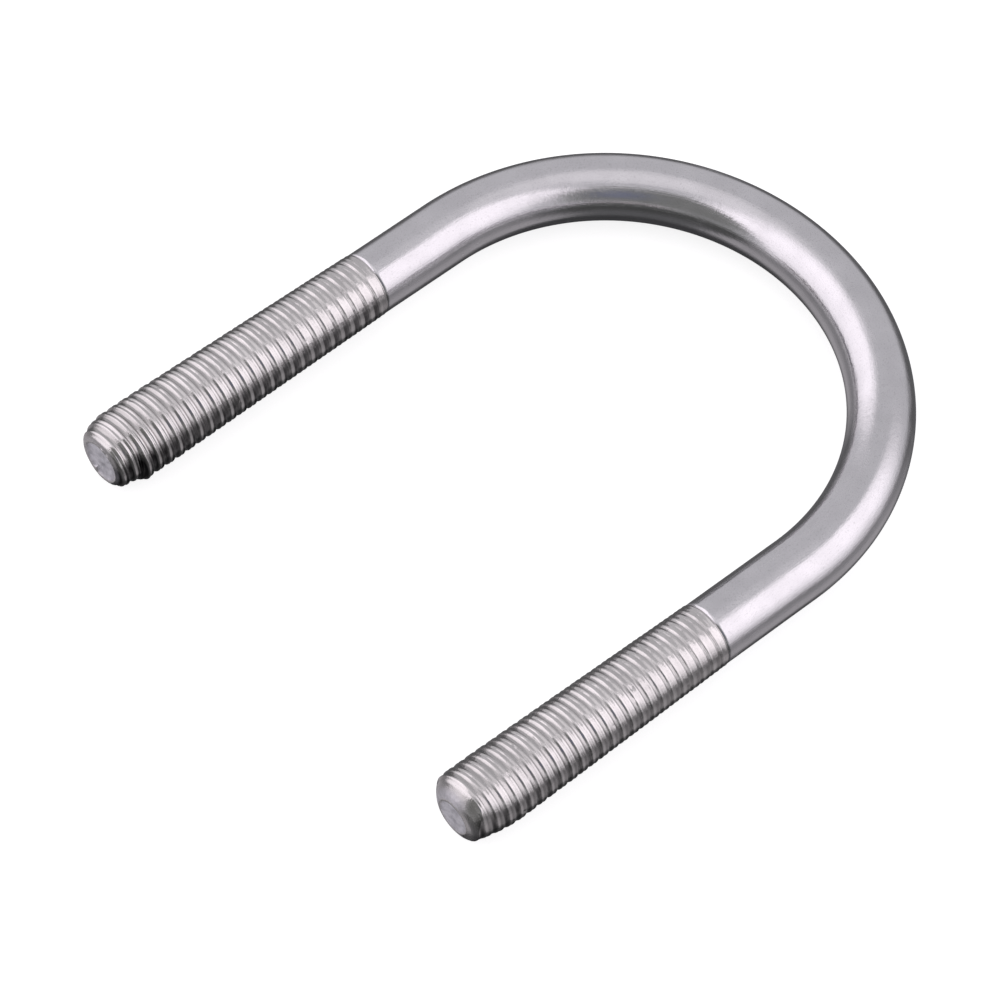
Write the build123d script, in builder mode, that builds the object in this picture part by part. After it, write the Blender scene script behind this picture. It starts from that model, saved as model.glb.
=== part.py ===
"""Pipe U-bolt, M6: one round stainless rod bent to a U, with a rolled thread on each end.

The U lies flat in the XY plane with its open end towards -X. The origin is the centre of the
bend, on the rod's mid-plane: the axis of the clamped pipe passes through it along Z.
Left and right are as seen from the open end, looking along +X, so the left leg is at +Y.
The rod is made in three lengths that meet face to face where each thread begins: the plain
bend with its two straight shoulders, and the two threaded ends.
"""
import os
from math import radians, tan

from build123d import *

# ---- driving dimensions, mm ------------------------------------------------------------------
rod_radius = 2.625  # drawn rod of about the pitch diameter of the thread that is rolled on it
bend_radius = 20.1  # centre line of the bend, and half the spacing of the legs
left_leg_length = 33.7  # from the end of the bend to the tip
right_leg_length = 33.5
left_shoulder = 6.35  # plain straight rod between the bend and the thread
right_shoulder = 8.15

thread_pitch = 1.0  # M6 coarse, right hand
thread_crest_radius = 2.99  # 5.98 mm over the crests where the thread is full
thread_root_radius = 2.39
first_crest_radius = 2.66  # the crests are low where the thread starts
crest_growth_length = 22.0  # over this length of thread they rise to the full radius
crest_flat = thread_pitch / 8
flank_angle = 30.0  # each side of the groove, from square to the axis
left_groove_start = 1.04  # smooth collar between the start of the thread and the first groove
right_groove_start = 1.29
collar_length = 0.9  # of it, this much has the plain rod's diameter
tip_chamfer_length = 0.9
tip_face_radius = 2.0
cutter_overshoot = 0.06  # the groove's profile reaches this far above the crests

towards_tip = (-1, 0, 0)


def groove_half_width(radius):
    """Half of the thread groove's width along the axis, at this radius."""
    half_width_at_crest = (thread_pitch - crest_flat) / 2
    return half_width_at_crest - (thread_crest_radius - radius) * tan(radians(flank_angle))


os.makedirs("parts", exist_ok=True)

# ---- plain bend with its two straight shoulders ------------------------------------------------
with BuildPart() as plain_bend:
    with BuildLine() as centre_line:
        Line((-left_shoulder, bend_radius), (0, bend_radius))
        CenterArc((0, 0), bend_radius, 90, -180)
        Line((0, -bend_radius), (-right_shoulder, -bend_radius))
    with BuildSketch(Plane((-left_shoulder, bend_radius, 0), z_dir=(1, 0, 0))):
        Circle(rod_radius)
    sweep(path=centre_line.line)

plain_bend.part.label = "plain_bend"
export_step(plain_bend.part, "parts/plain_bend.step")

# ---- the space that one turn of the thread's groove takes, about the X axis ---------------------
with BuildPart() as groove_turn:
    with BuildLine() as root_helix:
        Helix(thread_pitch, thread_pitch, thread_root_radius, direction=towards_tip)
    helix_start = root_helix.line @ 0
    profile_plane = Plane(helix_start, x_dir=helix_start, z_dir=helix_start.cross(Vector(towards_tip)))
    with BuildSketch(profile_plane):
        with BuildLine():
            height = thread_crest_radius + cutter_overshoot - thread_root_radius
            root = groove_half_width(thread_root_radius)
            mouth = groove_half_width(thread_root_radius + height)
            Polyline((0, -root), (height, -mouth), (height, mouth), (0, root), close=True)
        make_face()
    sweep(path=root_helix.line, is_frenet=True)

# ---- threaded ends, cut turn by turn from a blank that widens towards the tip -------------------
threaded_ends = {
    "left_threaded_end": (bend_radius, left_shoulder, left_leg_length, left_groove_start),
    "right_threaded_end": (-bend_radius, right_shoulder, right_leg_length, right_groove_start),
}
for name, (leg_y, shoulder, leg_length, groove_start) in threaded_ends.items():
    length = leg_length - shoulder
    turns = int((length - groove_start) / thread_pitch) + 2
    first_groove_x = -shoulder - groove_start

    with BuildPart() as threaded_end:
        with BuildSketch(Plane((-shoulder, leg_y, 0), x_dir=towards_tip, z_dir=(0, 0, 1))):
            with BuildLine():
                Polyline(
                    (0, 0),
                    (0, rod_radius),
                    (collar_length, rod_radius),
                    (collar_length, first_crest_radius),
                    (crest_growth_length, thread_crest_radius),
                    (length - tip_chamfer_length, thread_crest_radius),
                    (length, tip_face_radius),
                    (length, 0),
                    close=True,
                )
            make_face()
        revolve(axis=Axis((0, leg_y, 0), towards_tip))
        with Locations(*[(first_groove_x - turn * thread_pitch, leg_y, 0) for turn in range(turns)]):
            add(groove_turn.part, mode=Mode.SUBTRACT)

    threaded_end.part.label = name
    export_step(threaded_end.part, f"parts/{name}.step")
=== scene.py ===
from math import cos, exp, pi, radians, sin

import bpy
import numpy as np
from mathutils import Matrix, Vector


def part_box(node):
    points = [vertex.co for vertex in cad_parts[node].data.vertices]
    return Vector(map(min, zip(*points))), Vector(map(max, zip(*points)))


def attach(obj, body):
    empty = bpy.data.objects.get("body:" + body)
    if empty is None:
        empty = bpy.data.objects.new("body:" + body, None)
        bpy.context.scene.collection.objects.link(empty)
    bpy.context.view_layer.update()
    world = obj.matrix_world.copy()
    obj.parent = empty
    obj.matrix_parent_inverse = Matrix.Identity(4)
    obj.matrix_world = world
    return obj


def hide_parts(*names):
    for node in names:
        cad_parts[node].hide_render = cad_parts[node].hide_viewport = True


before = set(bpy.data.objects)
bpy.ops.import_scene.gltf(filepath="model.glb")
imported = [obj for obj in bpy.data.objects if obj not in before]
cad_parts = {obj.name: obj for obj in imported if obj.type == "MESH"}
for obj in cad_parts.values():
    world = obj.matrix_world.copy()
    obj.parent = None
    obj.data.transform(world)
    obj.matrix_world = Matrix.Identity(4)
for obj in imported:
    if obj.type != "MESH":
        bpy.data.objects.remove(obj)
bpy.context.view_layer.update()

# A steel u-bolt: one round rod bent to a half circle, with a rolled thread on the end
# of each leg. Everything is in metres, in the CAD model's frame: the bend's centre is
# the origin, the legs run towards -X, and +Z is up.

MM = 0.001

# The CAD model's threaded ends start with plain rod. Here each one starts at the collar, which
# is this much nearer the tip.
LEFT_COLLAR_SHIFT = 1.40 * MM
RIGHT_COLLAR_SHIFT = 0.88 * MM

# ---------------------------------------------------------------- sizes from the frame

bend_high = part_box("plain_bend")[1]
left_low, left_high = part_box("left_threaded_end")
right_low, right_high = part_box("right_threaded_end")

rod_radius = bend_high.z
bend_radius = bend_high.x - rod_radius
left_shoulder = -left_high.x + LEFT_COLLAR_SHIFT
right_shoulder = -right_high.x + RIGHT_COLLAR_SHIFT
left_tip = -left_low.x
right_tip = -right_low.x
crest_radius = left_high.z
floor_height = min(left_low.z, right_low.z)

# ------------------------------------------------------------------------- the thread

PITCH = 1.0 * MM
FIRST_CREST_RADIUS = 2.68 * MM    # the thread is still shallow where it leaves the shank
CREST_GROWTH_LENGTH = 20.8 * MM   # and reaches its full height this far along
LEFT_GROOVE_START = 0.62 * MM     # from the shoulder to the first groove, under the rod
RIGHT_GROOVE_START = 0.49 * MM
COLLAR_LENGTH = 0.50 * MM         # the plain raised ring between the shank and the thread
WAVINESS = 0.010 * MM             # how far the crests' radius wanders
BURR_HEIGHT = 0.07 * MM           # metal rolled up on the underside of the worn tip
CORNER_BLEND = 0.08 * MM          # rounds the corner between the crests and the tip's shape
LARGEST_RADIUS = 3.05             # in millimetres: beyond the crests, so it cuts nothing away

# How much painted shade the two halves of a crest, and the collar, take underneath.
TIP_SIDE_SHADE = 0.97
SHANK_SIDE_SHADE = 0.10
COLLAR_SHADE = 0.3

COLUMNS = 144                     # mesh columns round the rod
BEND_STEP = 0.30 * MM             # ring spacing along the plain rod
MESH_GAP = 0.015 * MM             # kept free between the thread and the rings at its ends

# The first entries of the sorting keys of a column's points. The thread's own is 0.
BEFORE_THREAD = -1e6
AFTER_THREAD = 1e6
PAST_THE_END = (2e6, 0)


def ramp(value, start, end):
    """A smooth step from 0 at start to 1 at end."""
    share = min(max((value - start) / (end - start), 0.0), 1.0)
    return share * share * (3.0 - 2.0 * share)


class Leg:
    """One threaded leg: its place, its lengths and the unevenness of its thread."""

    def __init__(self, side, shoulder, tip, groove_start, seed, worn):
        self.side = side
        self.shoulder = shoulder
        self.tip = tip
        self.groove_start = groove_start
        self.worn = worn
        rng = np.random.default_rng(seed)
        self.waves = [
            (turns, 2.0 * pi / (rng.uniform(1.5, 9.0) * MM), rng.uniform(0.0, 2.0 * pi))
            for turns in (1, 2, 3, 5, 8)
        ]
        self.dents = [
            (
                rng.uniform(shoulder + 2.0 * MM, tip - 0.5 * MM),
                rng.uniform(0.0, 2.0 * pi),
                rng.uniform(0.10, 0.24) * MM,
                rng.uniform(0.02, 0.06) * MM,
            )
            for _ in range(60 if worn else 36)
        ]

    def growth(self, along):
        """0 at the shoulder, 1 where the thread reaches its full height."""
        return min(max((along - self.shoulder) / CREST_GROWTH_LENGTH, 0.0), 1.0)

    def crest(self, along):
        """The radius of the thread's crest, which grows from the shoulder to the tip."""
        return FIRST_CREST_RADIUS + (crest_radius - FIRST_CREST_RADIUS) * self.growth(along)

    def fade_in(self, along):
        """0 on the collar, 1 just past it: how far the first groove has sunk in."""
        return ramp(along - self.shoulder, 0.80 * COLLAR_LENGTH, 1.45 * COLLAR_LENGTH)

    def unevenness(self, along, angle):
        """A gentle waviness between -1 and 1 over the surface."""
        return sum(sin(turns * angle + rate * along + phase) for turns, rate, phase in self.waves) / 5.0

    def dent(self, along, angle):
        """How deep the knocks on the crests press in at one place."""
        depth = 0.0
        for place, turned, size, deep in self.dents:
            lengthwise = along - place
            if abs(lengthwise) < 2.5 * size:
                across = crest_radius * (((angle - turned + pi) % (2.0 * pi)) - pi)
                depth += deep * exp(-(across * across + lengthwise * lengthwise) / (size * size))
        return depth

    def point(self, along, angle, radius):
        """A place on the leg: distance from the bend, angle from straight down, radius."""
        return (
            -along,
            self.side * bend_radius - radius * sin(angle),
            -radius * cos(angle),
        )


left_leg = Leg(1.0, left_shoulder, left_tip, LEFT_GROOVE_START, seed=11, worn=True)
right_leg = Leg(-1.0, right_shoulder, right_tip, RIGHT_GROOVE_START, seed=23, worn=False)


def groove_profile(growth):
    """Half of one rolled groove, from its middle to the middle of the crest.

    Each entry is a distance in pitches and a drop below the crest in millimetres. The
    rolls press the groove in and push a lip up on each side of it. The groove widens
    towards the tip, where the lips of neighbouring grooves nearly meet in a thin seam.
    """
    floor = 0.01 + 0.07 * growth
    lip = 0.225 + 0.105 * growth
    deep = 0.054 + 0.074 * growth
    seam = 0.028 + 0.024 * growth
    reach = 0.20 - 0.02 * growth
    bottom = [(0.0, deep + 0.008), (0.5 * floor, deep + 0.005)]
    climb = [
        (floor + (lip - floor) * share, deep * (1.0 - ramp(share, 0.0, 1.0)))
        for share in (0.0, 0.2, 0.4, 0.55, 0.7, 0.85, 1.0)
    ]
    crest = []
    for share in (0.25, 0.5, 0.75, 1.0):
        past_lip = (0.5 - lip) * share
        crest.append((lip + past_lip, seam * min(past_lip / reach, 1.0) ** 1.4))
    return bottom + climb + crest


HALF_SAMPLES = len(groove_profile(1.0)) - 1
TURN_SAMPLES = 2 * HALF_SAMPLES
GROOVE_DEPTH = groove_profile(1.0)[0][1]


def worn_tip_envelope(from_tip, angle):
    """The largest radius the worn left end allows: a rough dome with a cut-away start."""
    upper = np.interp(
        from_tip / MM,
        (0.0, 0.05, 0.14, 0.35, 0.70, 1.15, 1.45, 1.80),
        (1.82, 2.00, 2.20, 2.45, 2.66, 2.80, 2.86, LARGEST_RADIUS),
    )
    lower = np.interp(
        from_tip / MM,
        (0.0, 0.05, 0.15, 0.50, 1.10, 1.80, 2.00, 2.10),
        (1.82, 2.02, 2.26, 2.46, 2.58, 2.64, 2.68, LARGEST_RADIUS),
    )
    share = ramp(0.5 + 0.5 * cos(angle - radians(50.0)), 0.45, 0.80)
    return (upper * (1.0 - share) + lower * share) * MM


def chamfered_tip_envelope(from_tip, angle):
    """The largest radius the right end allows: a chamfer, and a long taper underneath."""
    chamfer = np.interp(
        from_tip / MM,
        (0.0, 0.04, 0.10, 0.20, 0.34, 0.70, 1.00, 1.30),
        (1.50, 1.68, 1.85, 2.05, 2.25, 2.66, 2.92, LARGEST_RADIUS),
    )
    taper = np.interp(
        from_tip / MM,
        (0.0, 0.04, 0.12, 0.40, 1.30, 2.60, 4.00, 5.00),
        (1.50, 1.76, 2.10, 2.36, 2.58, 2.84, 2.99, LARGEST_RADIUS),
    )
    share = ramp(0.5 + 0.5 * cos(angle - radians(62.0)), 0.45, 0.95)
    return min(chamfer, taper * share + LARGEST_RADIUS * (1.0 - share)) * MM


def softened_minimum(first, second, blend):
    """The smaller of two radii, with the corner between them rounded off."""
    gap = max(blend - abs(first - second), 0.0) / blend
    return min(first, second) - gap * gap * blend * 0.25


def end_radius(leg, along, angle, crest):
    """The crest's radius, cut down to what the leg's end shape allows."""
    envelope = worn_tip_envelope if leg.worn else chamfered_tip_envelope
    return softened_minimum(crest, float(envelope(leg.tip - along, angle)), CORNER_BLEND)


def burr(leg, along, angle):
    """How far the burr near the worn tip stands out."""
    from_tip = leg.tip - along
    place = ramp(from_tip, 2.05 * MM, 2.20 * MM) * ramp(from_tip, 2.75 * MM, 2.45 * MM)
    return BURR_HEIGHT * place * ramp(cos(angle - radians(55.0)), 0.3, 0.8)


def kept_depth(leg, along, cut_away):
    """The share of a groove's depth that is left where the tip's shape cuts the crests away.

    The grooves of the right leg also get shallower over the last 10 mm.
    """
    if leg.worn:
        return 1.0 - 0.30 * ramp(cut_away, 0.0, 0.6 * MM)
    kept = 1.0 - 0.60 * ramp(cut_away, 0.0, 0.6 * MM)
    return kept * (1.0 - 0.35 * ramp(along, leg.tip - 10.0 * MM, leg.tip - 3.0 * MM))


def thread_sample(leg, number, angle):
    """One numbered sample of the thread at an angle: distance, radius and groove share."""
    turn, step = divmod(number + HALF_SAMPLES, TURN_SAMPLES)
    step -= HALF_SAMPLES
    side = 1.0 if step >= 0 else -1.0
    groove = leg.shoulder + leg.groove_start + PITCH * (turn + angle / (2.0 * pi))
    distance, drop = groove_profile(leg.growth(groove))[abs(step)]
    along = groove + side * distance * PITCH
    drop *= leg.fade_in(groove)
    crest = leg.crest(along) - WAVINESS * (1.0 - leg.unevenness(along, angle))
    if drop < 0.5 * GROOVE_DEPTH:
        crest -= leg.dent(along, angle)
    allowed = end_radius(leg, along, angle, crest)
    if leg.worn:
        allowed += burr(leg, along, angle)
        drop *= 1.0 + 0.4 * ramp(leg.tip - along, 5.0 * MM, 2.5 * MM)
    kept = kept_depth(leg, along, crest - allowed)
    return along, allowed - drop * kept * MM, drop / GROOVE_DEPTH


def painted_shade(leg, angle, groove, on_crest):
    """How much painted shade darkens the thread: only underneath, in the grooves and on some
    of each crest, with less on the right leg's crests."""
    # Painted shade on the thread's underside, in its grooves and on parts of its crests.
    underneath = ramp(cos(angle - radians(74.0)), 0.50, 0.94)
    if not leg.worn:
        on_crest *= 0.5
    return underneath * max(groove, on_crest)


def sawn(leg, along, angle):
    """How far the matt cut-face metal spreads from the end face onto the side of the tip."""
    if leg.worn:
        return 0.4 * ramp(along, leg.tip - 0.25 * MM, leg.tip)
    shaded = ramp(cos(angle - radians(95.0)), 0.2, 0.7)
    return (0.85 - 0.70 * shaded) * ramp(along, leg.tip - 0.70 * MM, leg.tip - 0.10 * MM)


# ------------------------------------------------------------------------ mesh building


def collar_rings(leg):
    """The rings between the shank and the thread: a fine step, a lip and a flat collar.

    The profile's entries are shares of the collar's length and a rise in millimetres.
    """
    profile = (
        (0.00, -0.015),
        (0.07, -0.030),
        (0.14, -0.022),
        (0.21, 0.020),
        (0.28, 0.045),
        (0.38, 0.040),
        (0.50, 0.028),
        (0.65, 0.024),
        (0.80, 0.028),
        (1.00, 0.030),
    )
    middle_rise = 0.018
    crispness = 0.6 if leg.worn else 1.0
    return [
        (
            leg.shoulder + share * COLLAR_LENGTH,
            rod_radius + (middle_rise + crispness * (rise - middle_rise)) * MM,
        )
        for share, rise in profile
    ]


# The end face's rings, as shares of its rim's radius: closer together near the rim.
FACE_RINGS = (
    1.0, 0.96, 0.92, 0.87, 0.82, 0.77, 0.71, 0.64, 0.56, 0.48, 0.40, 0.32, 0.24, 0.16, 0.08
)


def face_height(leg, share, angle):
    """How far the end face stands back from the tip; share is 0 in its middle, 1 at its rim."""
    x = share * cos(angle)
    y = share * sin(angle)
    inside = ramp(1.0 - share, 0.0, 0.20)
    if leg.worn:
        smear = 0.050 * sin(3.1 * x + 1.2 * y + 0.6) + 0.034 * sin(7.3 * y - 4.7 * x)
        step = 0.075 * ramp(x * 0.55 + y * 0.85, 0.10, 0.22)
        return (0.10 + smear + step) * MM * inside
    return (0.030 + 0.020 * sin(2.3 * x + 1.9 * y)) * MM * inside


def rim_notch(leg, angle):
    """How far the worn end's rim is bitten away at an angle."""
    if not leg.worn:
        return 0.0
    turned = ((angle - radians(338.0) + pi) % (2.0 * pi)) - pi
    return 0.34 * MM * exp(-((turned / 0.10) ** 2))


class Column:
    """The points of one mesh column, in order along the leg, each with a sorting key."""

    def __init__(self):
        self.keys = []
        self.points = []
        self.marks = []

    def add(self, key, point, mark):
        self.keys.append(key)
        self.points.append(point)
        self.marks.append(mark)


def thread_column(leg, index):
    """One column of the threaded end: collar, thread samples, tip rings and end face.

    A point's marks are its groove share, its share of cut-face metal and its painted shade underneath.
    """
    angle = 2.0 * pi * index / COLUMNS
    column = Column()
    collar = collar_rings(leg)
    for order, (along, radius) in enumerate(collar):
        # The collar also takes painted shade underneath.
        mark = (0.0, 0.0, painted_shade(leg, angle, 0.0, COLLAR_SHADE))
        column.add((BEFORE_THREAD, order), (along, angle, radius), mark)
    start = collar[-1][0] + MESH_GAP
    stop = leg.tip - MESH_GAP
    first = -2 * TURN_SAMPLES
    last = int((leg.tip - leg.shoulder) / PITCH + 2) * TURN_SAMPLES
    for number in range(first, last):
        along, radius, groove = thread_sample(leg, number, angle)
        if start < along < stop:
            # Painted shade underneath: the tip-side half of each crest takes most, the shank-side half
            # little.
            on_tip_side = (number + HALF_SAMPLES) % TURN_SAMPLES > HALF_SAMPLES
            on_crest = TIP_SIDE_SHADE if on_tip_side else SHANK_SIDE_SHADE
            mark = (groove, sawn(leg, along, angle), painted_shade(leg, angle, groove, on_crest))
            column.add((0, number), (along, angle, radius), mark)
    rim = end_radius(leg, leg.tip, angle, crest_radius) - rim_notch(leg, angle)
    for order, share in enumerate(FACE_RINGS):
        along = leg.tip - face_height(leg, share, angle)
        mark = (0.0, ramp(share, 1.02, 0.86), 0.0)
        column.add((AFTER_THREAD, order), (along, angle, share * rim), mark)
    return column


def stitch(left, left_first, right, right_first, shift):
    """Faces between two neighbouring columns, matched by their keys.

    shift is how far the right column's thread samples are numbered ahead, which is one
    turn where the last column meets the first.
    """
    faces = []
    i = 0
    j = 0
    while i + 1 < len(left.keys) or j + 1 < len(right.keys):
        next_left = left.keys[i + 1] if i + 1 < len(left.keys) else PAST_THE_END
        next_right = right.keys[j + 1] if j + 1 < len(right.keys) else PAST_THE_END
        if next_right[0] == 0:
            next_right = (0, next_right[1] - shift)
        if next_left == next_right:
            faces.append(
                (left_first + i, left_first + i + 1, right_first + j + 1, right_first + j)
            )
            i += 1
            j += 1
        elif next_left < next_right:
            faces.append((left_first + i, left_first + i + 1, right_first + j))
            i += 1
        else:
            faces.append((left_first + i, right_first + j + 1, right_first + j))
            j += 1
    return faces


def make_object(name, points, faces, rod_space, marks):
    """A smooth-shaded mesh object with the attributes that its material reads."""
    mesh = bpy.data.meshes.new(name)
    mesh.from_pydata(points, [], faces)
    mesh.validate()
    mesh.shade_smooth()
    place = mesh.attributes.new("rod_space", "FLOAT_VECTOR", "POINT")
    place.data.foreach_set("vector", np.array(rod_space, np.float32).ravel())
    # The last mark is painted shade for the thread's underside.
    for index, mark_name in enumerate(("groove", "cut_face", "painted_shade")):
        mark = mesh.attributes.new(mark_name, "FLOAT", "POINT")
        mark.data.foreach_set("value", np.array([m[index] for m in marks], np.float32))
    made = bpy.data.objects.new(name, mesh)
    bpy.context.scene.collection.objects.link(made)
    return made


def cap_faces(starts, shank_centre, face_centre):
    """The triangles that close a threaded end, at the shank and in the middle of its face."""
    faces = []
    for index in range(COLUMNS):
        following = (index + 1) % COLUMNS
        first = int(starts[index])
        last = int(starts[index + 1]) - 1
        next_first = int(starts[following])
        next_last = int(starts[following + 1]) - 1
        faces.append((shank_centre, first, next_first))
        faces.append((face_centre, next_last, last))
    return faces


def threaded_end(leg, name):
    """The threaded end of one leg, as one closed mesh whose edges follow the helix."""
    columns = [thread_column(leg, index) for index in range(COLUMNS)]
    starts = np.cumsum([0] + [len(column.points) for column in columns])
    points = []
    rod_space = []
    marks = []
    for column in columns:
        for along, angle, radius in column.points:
            points.append(leg.point(along, angle, radius))
            rod_space.append((radius * cos(angle), radius * sin(angle), along))
        marks.extend(column.marks)
    faces = []
    for index in range(COLUMNS):
        following = (index + 1) % COLUMNS
        shift = TURN_SAMPLES if following == 0 else 0
        here = int(starts[index])
        there = int(starts[following])
        faces.extend(stitch(columns[index], here, columns[following], there, shift))
    shank_centre = len(points)
    points.append(leg.point(leg.shoulder, 0.0, 0.0))
    face_centre = len(points)
    points.append(leg.point(leg.tip - face_height(leg, 0.0, 0.0), 0.0, 0.0))
    rod_space.extend(((0.0, 0.0, leg.shoulder), (0.0, 0.0, leg.tip)))
    marks.extend(((0.0, 0.0, 0.0), (0.0, 1.0, 0.0)))
    faces.extend(cap_faces(starts, shank_centre, face_centre))
    return make_object(name, points, faces, rod_space, marks)


def rod_stations():
    """Points along the plain rod's middle: position, outward direction and distance."""
    stations = []
    count = round(left_shoulder / BEND_STEP)
    for index in range(count):
        along = left_shoulder * (1.0 - index / count)
        stations.append(((-along, bend_radius), (0.0, 1.0), -along))
    arc = pi * bend_radius
    count = round(arc / BEND_STEP)
    for index in range(count + 1):
        angle = pi / 2.0 - pi * index / count
        outward = (cos(angle), sin(angle))
        middle = (bend_radius * outward[0], bend_radius * outward[1])
        stations.append((middle, outward, arc * index / count))
    count = round(right_shoulder / BEND_STEP)
    for index in range(1, count + 1):
        along = right_shoulder * index / count
        stations.append(((-along, -bend_radius), (0.0, -1.0), arc + along))
    return stations


def plain_bend(name):
    """The bent plain rod, as one closed tube whose rings follow the bend."""
    points = []
    rod_space = []
    faces = []
    stations = rod_stations()
    for middle, outward, along in stations:
        for index in range(COLUMNS):
            angle = 2.0 * pi * index / COLUMNS
            reach = rod_radius * cos(angle)
            rise = rod_radius * sin(angle)
            points.append((middle[0] + reach * outward[0], middle[1] + reach * outward[1], rise))
            rod_space.append((reach, rise, along))
    for ring in range(len(stations) - 1):
        for index in range(COLUMNS):
            following = (index + 1) % COLUMNS
            here = ring * COLUMNS
            there = here + COLUMNS
            faces.append((here + index, there + index, there + following, here + following))
    last = (len(stations) - 1) * COLUMNS
    faces.append(tuple(range(COLUMNS)))
    faces.append(tuple(last + index for index in reversed(range(COLUMNS))))
    marks = [(0.0, 0.0, 0.0)] * len(points)
    return make_object(name, points, faces, rod_space, marks)


# ---------------------------------------------------------------------------- materials

SPECK = (0.36, 0.35, 0.36, 1.0)
SOIL = (0.47, 0.457, 0.45, 1.0)
# Near-black colour of the painted shade on the thread's underside.
SHADE_COLOUR = (0.026, 0.025, 0.026, 1.0)
PALE_SCALE = (0.60, 0.59, 0.64, 1.0)
DARK_SCALE = (0.34, 0.335, 0.37, 1.0)
RELIEF_HEIGHT = 0.004 * MM


def add_node(tree, kind, inputs=(), **settings):
    """A shader node with its settings made and its inputs set or linked."""
    made = tree.nodes.new(kind)
    for name, value in settings.items():
        setattr(made, name, value)
    for key, value in dict(inputs).items():
        if isinstance(value, bpy.types.NodeSocket):
            tree.links.new(value, made.inputs[key])
        else:
            made.inputs[key].default_value = value
    return made


def maths(tree, operation, *values):
    """The result of a Math node."""
    return add_node(tree, "ShaderNodeMath", enumerate(values), operation=operation).outputs[0]


def map_range(tree, value, from_low, from_high, to_low=0.0, to_high=1.0, smooth=False):
    """A value carried from one range to another."""
    inputs = {
        "Value": value,
        "From Min": from_low,
        "From Max": from_high,
        "To Min": to_low,
        "To Max": to_high,
    }
    kind = "SMOOTHSTEP" if smooth else "LINEAR"
    return add_node(tree, "ShaderNodeMapRange", inputs, interpolation_type=kind).outputs[0]


def mix_colours(tree, share, first, second):
    """A blend of two colours, each a socket or an RGBA tuple."""
    made = tree.nodes.new("ShaderNodeMix")
    made.data_type = "RGBA"
    for socket, value in ((made.inputs[0], share), (made.inputs[6], first), (made.inputs[7], second)):
        if isinstance(value, bpy.types.NodeSocket):
            tree.links.new(value, socket)
        else:
            socket.default_value = value
    return made.outputs[2]


def noise(tree, place, scale, detail=3.0, rough=0.5):
    """A noise value over the rod's own space."""
    inputs = {"Vector": place, "Scale": scale, "Detail": detail, "Roughness": rough}
    return add_node(tree, "ShaderNodeTexNoise", inputs).outputs["Fac"]


def stretched(tree, place, across, along):
    """The rod's own space, scaled differently across and along the rod."""
    inputs = {0: place, 1: (across, across, along)}
    return add_node(tree, "ShaderNodeVectorMath", inputs, operation="MULTIPLY").outputs[0]


def point_mark(tree, name):
    """A number that the mesh carries at each point."""
    return add_node(tree, "ShaderNodeAttribute", attribute_name=name).outputs["Fac"]


def steel_patterns(tree, line_space):
    """The noises that the steel's colour, shine and relief share."""
    place = add_node(tree, "ShaderNodeAttribute", attribute_name="rod_space").outputs["Vector"]
    return {
        "clouds": noise(tree, place, 420.0, detail=4.0),
        "lines": noise(tree, stretched(tree, place, *line_space), 1.0, detail=3.0, rough=0.6),
        "grain": noise(tree, place, 9000.0, detail=2.0),
        "dimples": noise(tree, stretched(tree, place, 3600.0, 2400.0), 1.0, detail=2.0),
        "scuffs": noise(tree, stretched(tree, place, 900.0, 300.0), 1.0, detail=5.0, rough=0.65),
    }


def steel_colour(tree, patterns, bright, dull):
    """Cloudy steel with dark specks, soil in the grooves, painted shade underneath, and scale on the
    cut faces.
    """
    grain = patterns["grain"]
    scuffs = patterns["scuffs"]
    colour = mix_colours(tree, map_range(tree, patterns["clouds"], 0.32, 0.68), bright, dull)
    speck = map_range(tree, grain, 0.56, 0.72, 0.0, 0.30)
    colour = mix_colours(tree, speck, colour, SPECK)
    soiled = map_range(tree, grain, 0.3, 0.7, 0.75, 1.0)
    soiled = maths(tree, "MULTIPLY", point_mark(tree, "groove"), soiled)
    colour = mix_colours(tree, soiled, colour, SOIL)
    # Painted shade on the thread's underside, broken up by the scuffs.
    patchy_shade = map_range(tree, scuffs, 0.30, 0.55, 0.82, 1.0)
    patchy_shade = maths(tree, "MULTIPLY", point_mark(tree, "painted_shade"), patchy_shade)
    colour = mix_colours(tree, patchy_shade, colour, SHADE_COLOUR)
    scale = mix_colours(tree, map_range(tree, scuffs, 0.40, 0.60), PALE_SCALE, DARK_SCALE)
    return mix_colours(tree, maths(tree, "MULTIPLY", point_mark(tree, "cut_face"), 0.9), colour, scale)


def steel_shine(tree, patterns, roughness):
    """The roughness, which is higher on scuffs, in the grooves and on the cut faces."""
    shine = map_range(tree, patterns["lines"], 0.25, 0.75, roughness - 0.03, roughness + 0.04)
    shine = maths(tree, "ADD", shine, map_range(tree, patterns["scuffs"], 0.52, 0.72, 0.0, 0.14))
    shine = maths(tree, "ADD", shine, maths(tree, "MULTIPLY", point_mark(tree, "groove"), 0.06))
    return maths(tree, "ADD", shine, maths(tree, "MULTIPLY", point_mark(tree, "cut_face"), 0.35))


def steel_relief(tree, patterns, line_strength, grain_strength):
    """The bumped normal: lines, grain and dimples, and scuffs, most of all on the cut faces."""
    relief = maths(tree, "MULTIPLY", patterns["lines"], line_strength)
    grain = maths(tree, "MULTIPLY", patterns["grain"], grain_strength)
    relief = maths(tree, "ADD", relief, grain)
    dimples = maths(tree, "MULTIPLY", patterns["dimples"], 2.2 * grain_strength)
    relief = maths(tree, "ADD", relief, dimples)
    rubbed = maths(tree, "ADD", maths(tree, "MULTIPLY", point_mark(tree, "cut_face"), 5.0), 1.2)
    relief = maths(tree, "ADD", relief, maths(tree, "MULTIPLY", patterns["scuffs"], rubbed))
    inputs = {"Height": relief, "Strength": 1.0, "Distance": RELIEF_HEIGHT}
    return add_node(tree, "ShaderNodeBump", inputs).outputs[0]


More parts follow.
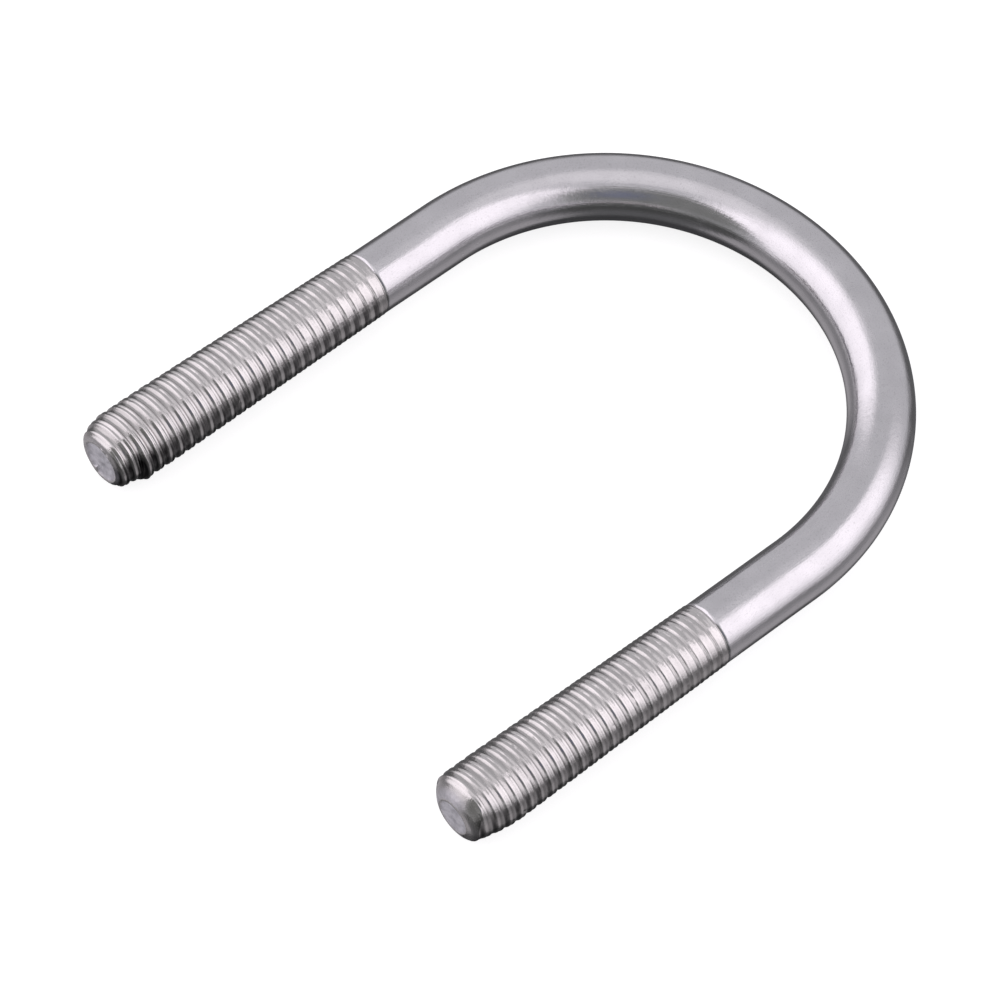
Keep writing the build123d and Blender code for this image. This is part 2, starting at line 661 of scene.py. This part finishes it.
def steel(name, bright, dull, roughness, line_space, line_strength, grain_strength):
    """A steel material.

    line_space is how closely the lines' noise varies across and along the rod: the drawn
    rod has its lines lengthwise, and the rolled thread has them round the rod.
    """
    material = bpy.data.materials.new(name)
    material.use_nodes = True
    tree = material.node_tree
    tree.nodes.clear()
    patterns = steel_patterns(tree, line_space)
    less_metal = maths(tree, "MULTIPLY", point_mark(tree, "cut_face"), 0.45)
    inputs = {
        "Base Color": steel_colour(tree, patterns, bright, dull),
        "Metallic": maths(tree, "SUBTRACT", 1.0, less_metal),
        "Roughness": steel_shine(tree, patterns, roughness),
        "Normal": steel_relief(tree, patterns, line_strength, grain_strength),
    }
    surface = add_node(tree, "ShaderNodeBsdfPrincipled", inputs)
    add_node(tree, "ShaderNodeOutputMaterial", {"Surface": surface.outputs[0]})
    return material


# ------------------------------------------------------------------------------ pieces

rod_steel = steel(
    "rod_steel",
    bright=(0.655, 0.645, 0.662, 1.0),
    dull=(0.600, 0.591, 0.607, 1.0),
    roughness=0.16,
    line_space=(6000.0, 160.0),
    line_strength=1.8,
    grain_strength=0.9,
)
thread_steel = steel(
    "thread_steel",
    bright=(0.690, 0.670, 0.662, 1.0),
    dull=(0.560, 0.543, 0.537, 1.0),
    roughness=0.12,
    line_space=(350.0, 9000.0),
    line_strength=2.6,
    grain_strength=1.5,
)

PIECES = (
    (plain_bend("plain_bend_rod"), "plain_bend", "rod_steel", rod_steel),
    (threaded_end(left_leg, "left_thread"), "left_threaded_end", "thread_steel", thread_steel),
    (threaded_end(right_leg, "right_thread"), "right_threaded_end", "thread_steel", thread_steel),
)
for piece, node, slot, material in PIECES:
    piece.data.materials.append(material)
    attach(piece, "root")
    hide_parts(node)


# ------------------------------------------------------------------------------- floor


def pale_floor():
    """A wide matt floor under the u-bolt; the steel doesn't mirror it."""
    half = 1.5
    corners = [(-half, -half, 0.0), (half, -half, 0.0), (half, half, 0.0), (-half, half, 0.0)]
    mesh = bpy.data.meshes.new("floor")
    mesh.from_pydata(corners, [], [(0, 1, 2, 3)])
    floor = bpy.data.objects.new("floor", mesh)
    floor.location.z = floor_height
    bpy.context.scene.collection.objects.link(floor)
    material = bpy.data.materials.new("floor_paper")
    material.use_nodes = True
    surface = material.node_tree.nodes["Principled BSDF"]
    surface.inputs["Base Color"].default_value = (0.40, 0.40, 0.40, 1.0)
    surface.inputs["Roughness"].default_value = 0.9
    surface.inputs["Specular IOR Level"].default_value = 0.0
    surface.inputs["Emission Color"].default_value = (1.0, 1.0, 1.0, 1.0)
    surface.inputs["Emission Strength"].default_value = 0.80
    mesh.materials.append(material)
    floor.visible_glossy = False
    floor.visible_shadow = False
    return floor


pale_floor()


# ----------------------------------------------------------------------- studio lights


def direction(azimuth, elevation):
    """A unit vector: azimuth from +X towards +Y, elevation above the horizon, degrees."""
    a = radians(azimuth)
    e = radians(elevation)
    return Vector((cos(e) * cos(a), cos(e) * sin(a), sin(e)))


def dot(tree, first, second):
    """The dot product of two vectors."""
    inputs = {0: first, 1: second}
    made = add_node(tree, "ShaderNodeVectorMath", inputs, operation="DOT_PRODUCT")
    return made.outputs["Value"]


def panel(tree, ray, azimuth, elevation, half_width, half_height, edges, foot=1.0):
    """How brightly a rectangular panel facing the object shines along a ray, from 0 to 1.

    Its edges are soft, by their own amounts on the low and high azimuth sides, the bottom
    and the top. Its brightness falls off towards the bottom, down to foot.
    """
    low_edge, high_edge, bottom_edge, top_edge = edges
    middle = direction(azimuth, elevation)
    sideways = direction(azimuth + 90.0, 0.0)
    upwards = middle.cross(sideways)
    ahead = maths(tree, "MAXIMUM", dot(tree, ray, tuple(middle)), 0.05)
    across = maths(tree, "DIVIDE", dot(tree, ray, tuple(sideways)), ahead)
    rise = maths(tree, "DIVIDE", dot(tree, ray, tuple(upwards)), ahead)
    limits = (
        map_range(tree, across, -half_width - low_edge, -half_width + low_edge, smooth=True),
        map_range(tree, across, half_width + high_edge, half_width - high_edge, smooth=True),
        map_range(tree, rise, -half_height - bottom_edge, -half_height + bottom_edge, smooth=True),
        map_range(tree, rise, half_height + top_edge, half_height - top_edge, smooth=True),
        map_range(tree, dot(tree, ray, tuple(middle)), 0.05, 0.20, smooth=True),
        map_range(tree, rise, -half_height, 0.25 * half_height, foot, 1.0),
    )
    shining = limits[0]
    for limit in limits[1:]:
        shining = maths(tree, "MULTIPLY", shining, limit)
    return shining


def room_light(tree, height, softboxes, dark_corner, blue_patch):
    """The colour of the room: grey walls, a light ceiling, a darker corner and the softboxes."""
    ceiling = map_range(tree, height, 0.86, 0.995, smooth=True)
    room = mix_colours(tree, ceiling, (0.66, 0.65, 0.68, 1.0), (0.97, 0.94, 0.98, 1.0))
    shade = mix_colours(tree, blue_patch, (0.235, 0.237, 0.233, 1.0), (0.205, 0.220, 0.300, 1.0))
    room = mix_colours(tree, dark_corner, room, shade)
    return mix_colours(tree, softboxes, room, (1.54, 1.46, 1.54, 1.0))


def table_light(tree, height, softboxes, dark_corner):
    """The colour of the dark table, which mirrors the softboxes and more so in a lighter band."""
    mirrored = maths(tree, "MULTIPLY", softboxes, 0.85)
    unlit = mix_colours(tree, dark_corner, (0.125, 0.124, 0.128, 1.0), (0.078, 0.079, 0.078, 1.0))
    table = mix_colours(tree, mirrored, unlit, (0.33, 0.32, 0.335, 1.0))
    lighter = mix_colours(tree, mirrored, (0.13, 0.13, 0.135, 1.0), (0.48, 0.46, 0.48, 1.0))
    band_start = map_range(tree, height, -0.40, -0.68, smooth=True)
    band_end = map_range(tree, height, -0.92, -0.78, smooth=True)
    table = mix_colours(tree, maths(tree, "MULTIPLY", band_start, band_end), table, lighter)
    below = map_range(tree, height, -0.80, -0.96, smooth=True)
    return mix_colours(tree, below, table, (0.055, 0.055, 0.058, 1.0))


def studio_world():
    """A pale studio room above a dark table. The camera itself sees plain white."""
    world = bpy.data.worlds.new("studio")
    world.use_nodes = True
    tree = world.node_tree
    tree.nodes.clear()
    ray = add_node(tree, "ShaderNodeTexCoord").outputs["Generated"]
    split = add_node(tree, "ShaderNodeSeparateXYZ", {0: ray})
    height = split.outputs[2]
    folds = {0: split.outputs[0], 1: split.outputs[1], 2: maths(tree, "ABSOLUTE", height)}
    folded = add_node(tree, "ShaderNodeCombineXYZ", folds).outputs[0]

    right_box = panel(tree, folded, -57.0, 34.0, 0.68, 0.56, (0.36, 0.30, 0.50, 0.14))
    left_box = panel(tree, folded, 133.5, 31.0, 0.82, 0.72, (0.22, 0.12, 0.26, 0.28), foot=0.62)
    dark_corner = panel(tree, folded, -146.0, 25.0, 0.74, 0.50, (0.24, 0.22, 0.22, 0.22))
    blue_patch = panel(tree, folded, -130.0, 27.0, 0.15, 0.19, (0.11, 0.11, 0.13, 0.13))
    softboxes = maths(tree, "MAXIMUM", right_box, left_box)

    room = room_light(tree, height, softboxes, dark_corner, blue_patch)
    table = table_light(tree, height, softboxes, dark_corner)
    horizon = map_range(tree, height, -0.30, 0.05, smooth=True)
    surroundings = mix_colours(tree, horizon, table, room)

    seen = add_node(tree, "ShaderNodeLightPath").outputs["Is Camera Ray"]
    colour = mix_colours(tree, seen, surroundings, (1.0, 1.0, 1.0, 1.0))
    background = add_node(tree, "ShaderNodeBackground", {"Color": colour, "Strength": 1.0})
    add_node(tree, "ShaderNodeOutputWorld", {"Surface": background.outputs[0]})
    bpy.context.scene.world = world


studio_world()
bpy.context.scene.view_settings.view_transform = "Standard"


# ------------------------------------------------------------------------------ camera


def make_camera():
    """A long lens above the open end, looking down between the legs at the bend."""
    azimuth = radians(-44.23)
    elevation = radians(55.75)
    roll = radians(4.01)
    distance = 419.84 * MM
    target = Vector((-12.85, -1.50, 0.0)) * MM
    back = Vector(
        (sin(azimuth) * cos(elevation), -cos(azimuth) * cos(elevation), sin(elevation))
    )
    level = (-back).cross(Vector((0.0, 0.0, 1.0))).normalized()
    upright = level.cross(-back)
    right = level * cos(roll) + upright * sin(roll)
    up = upright * cos(roll) - level * sin(roll)
    data = bpy.data.cameras.new("camera")
    data.sensor_width = 36.0
    data.lens = 202.55
    data.clip_start = 0.01
    data.clip_end = 20.0
    camera = bpy.data.objects.new("camera", data)
    place = target + back * distance
    camera.matrix_world = Matrix(
        (
            (right.x, up.x, back.x, place.x),
            (right.y, up.y, back.y, place.y),
            (right.z, up.z, back.z, place.z),
            (0.0, 0.0, 0.0, 1.0),
        )
    )
    bpy.context.scene.collection.objects.link(camera)
    bpy.context.scene.camera = camera


make_camera()
